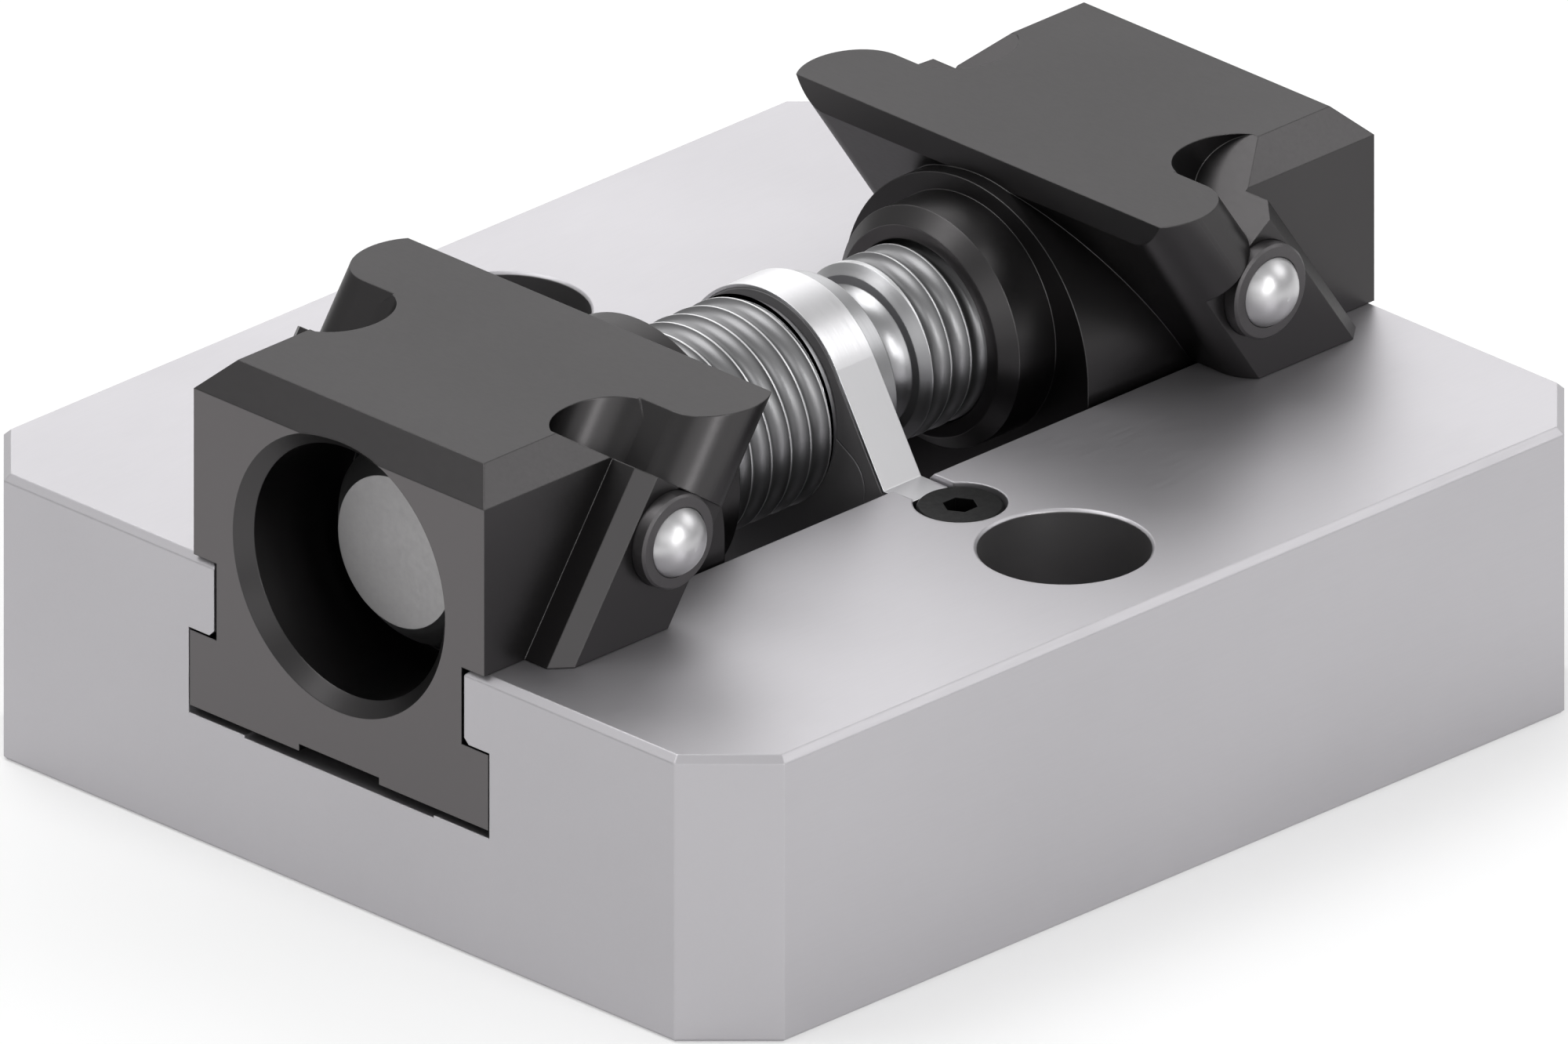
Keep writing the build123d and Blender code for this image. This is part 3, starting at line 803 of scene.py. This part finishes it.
def wind_spring(low, high, outward):
    """A coil between two planes across Y, closed at both ends of its wire."""
    centre_x, centre_z = (low.x + high.x) / 2, (low.z + high.z) / 2
    coil = (high.z - low.z) / 2 - WIRE_RADIUS
    first, last = (low.y, high.y) if outward > 0 else (high.y, low.y)
    first, last = first + outward * WIRE_RADIUS, last - outward * WIRE_RADIUS
    steps = SPRING_TURNS * STEPS_PER_TURN
    bm = bmesh.new()
    rings = []
    for step in range(steps + 1):
        angle = 2 * pi * step / STEPS_PER_TURN
        away = Vector((cos(angle), 0, sin(angle)))
        middle = Vector((centre_x, first + (last - first) * step / steps, centre_z)) + away * coil
        ring = []
        for side in range(WIRE_SIDES):
            turn = 2 * pi * side / WIRE_SIDES
            lean = away * cos(turn) + Vector((0, sin(turn), 0))
            ring.append(bm.verts.new(middle + lean * WIRE_RADIUS))
        rings.append(ring)
    for here, there in zip(rings, rings[1:]):
        for side in range(WIRE_SIDES):
            after = (side + 1) % WIRE_SIDES
            bm.faces.new((here[side], here[after], there[after], there[side]))
    bm.faces.new(rings[0])
    bm.faces.new(rings[-1])
    bmesh.ops.recalc_face_normals(bm, faces=bm.faces)
    return bm


for end in ("near", "far"):
    for side, outward in (("left", 1), ("right", -1)):
        node = f"{end}_{side}_plunger_spring"
        spring_low, spring_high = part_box(node)
        coil_spring = finish_mesh(
            wind_spring(spring_low, spring_high, outward), f"{end}_{side}_wound_spring")
        coil_spring.data.materials.append(spring_steel)
        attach(coil_spring, f"{end}_jaw")
        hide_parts(node)
        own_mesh(coil_spring)

# %% [markdown]
# ## Floor and background
# A plain pale floor catches a soft shadow. The background of the photograph is white, so the floor
# adds a little light of its own only where the camera or a reflection sees it. That lifts it to
# white without sending any more light onto the metal.

# %% Floor
# In metres, as for all of the studio
FLOOR_SIZE = 4.0
FLOOR_GREY = 0.63
FLOOR_ROUGHNESS = 0.9
FLOOR_GLOW = 0.3


def floor_material():
    material = bpy.data.materials.new("pale floor")
    material.use_nodes = True
    tree = material.node_tree
    shader = tree.nodes["Principled BSDF"]
    shader.inputs["Base Color"].default_value = (FLOOR_GREY, FLOOR_GREY, FLOOR_GREY, 1)
    shader.inputs["Roughness"].default_value = FLOOR_ROUGHNESS
    shader.inputs["Specular IOR Level"].default_value = 0.0
    shader.inputs["Emission Color"].default_value = (1, 1, 1, 1)
    ray = add_node(tree, "ShaderNodeLightPath")
    seen = math_node(
        tree, "ADD", ray.outputs["Is Camera Ray"], ray.outputs["Is Glossy Ray"], clamp=True)
    glow = math_node(tree, "MULTIPLY", seen, FLOOR_GLOW)
    tree.links.new(glow, shader.inputs["Emission Strength"])
    return material


bpy.ops.mesh.primitive_plane_add(size=FLOOR_SIZE)
studio_floor = bpy.context.object
studio_floor.name = "studio_floor"
studio_floor.data.materials.append(floor_material())
print("floor", FLOOR_SIZE, "m")

# %% [markdown]
# ## Light
# The photograph is lit like a catalogue picture: a large soft wall of light behind the vise, a soft
# box overhead, one high at the right, a faint one behind the camera, and a pale room all round. A
# narrow box low at the front leaves the small highlights on the balls and the spindle's neck, and
# one beside it the bright bands on the horns. Metal shows what it reflects, so the boxes are large
# and close enough to leave soft gradients on it.

# %% Lamps and world
LAMP_TARGET = Vector((0, 0, 20 * MM))
ROOM_LIGHT = 0.45
BACKGROUND_LIGHT = 1.0


def soft_box(name, place, size, power):
    """A rectangular lamp at a place in metres, turned to the vise, with its power in watts."""
    lamp = bpy.data.lights.new(name, "AREA")
    lamp.shape = "RECTANGLE"
    lamp.size, lamp.size_y = size
    lamp.energy = power
    box = bpy.data.objects.new(name, lamp)
    box.location = place
    box.rotation_mode = "QUATERNION"
    box.rotation_quaternion = (Vector(place) - LAMP_TARGET).to_track_quat("Z", "Y")
    bpy.context.scene.collection.objects.link(box)
    return box


soft_box("back wall box", (0.60, 0.60, 0.42), (1.3, 0.7), 4.05)
soft_box("overhead box", (-0.16, 0.23, 0.66), (0.55, 0.44), 2.5)
soft_box("right box", (0.55, -0.38, 0.55), (0.45, 0.4), 1.1)
soft_box("front box", (-0.48, -0.48, 0.32), (0.5, 0.4), 0.5)
soft_box("narrow box", (-0.04, -0.55, 0.33), (0.12, 0.3), 0.9)
soft_box("horn box", (-0.23, -0.65, 0.18), (0.1, 0.22), 0.5)

world = bpy.data.worlds.new("pale room")
world.use_nodes = True
room = world.node_tree
room_light = room.nodes["Background"]
room_ray = add_node(room, "ShaderNodeLightPath")
room_light.inputs["Color"].default_value = (1, 1, 1, 1)
room_strength = remap(room, room_ray.outputs["Is Camera Ray"], 0, 1, ROOM_LIGHT, BACKGROUND_LIGHT)
room.links.new(room_strength, room_light.inputs["Strength"])
bpy.context.scene.world = world
bpy.context.scene.view_settings.view_transform = "Standard"
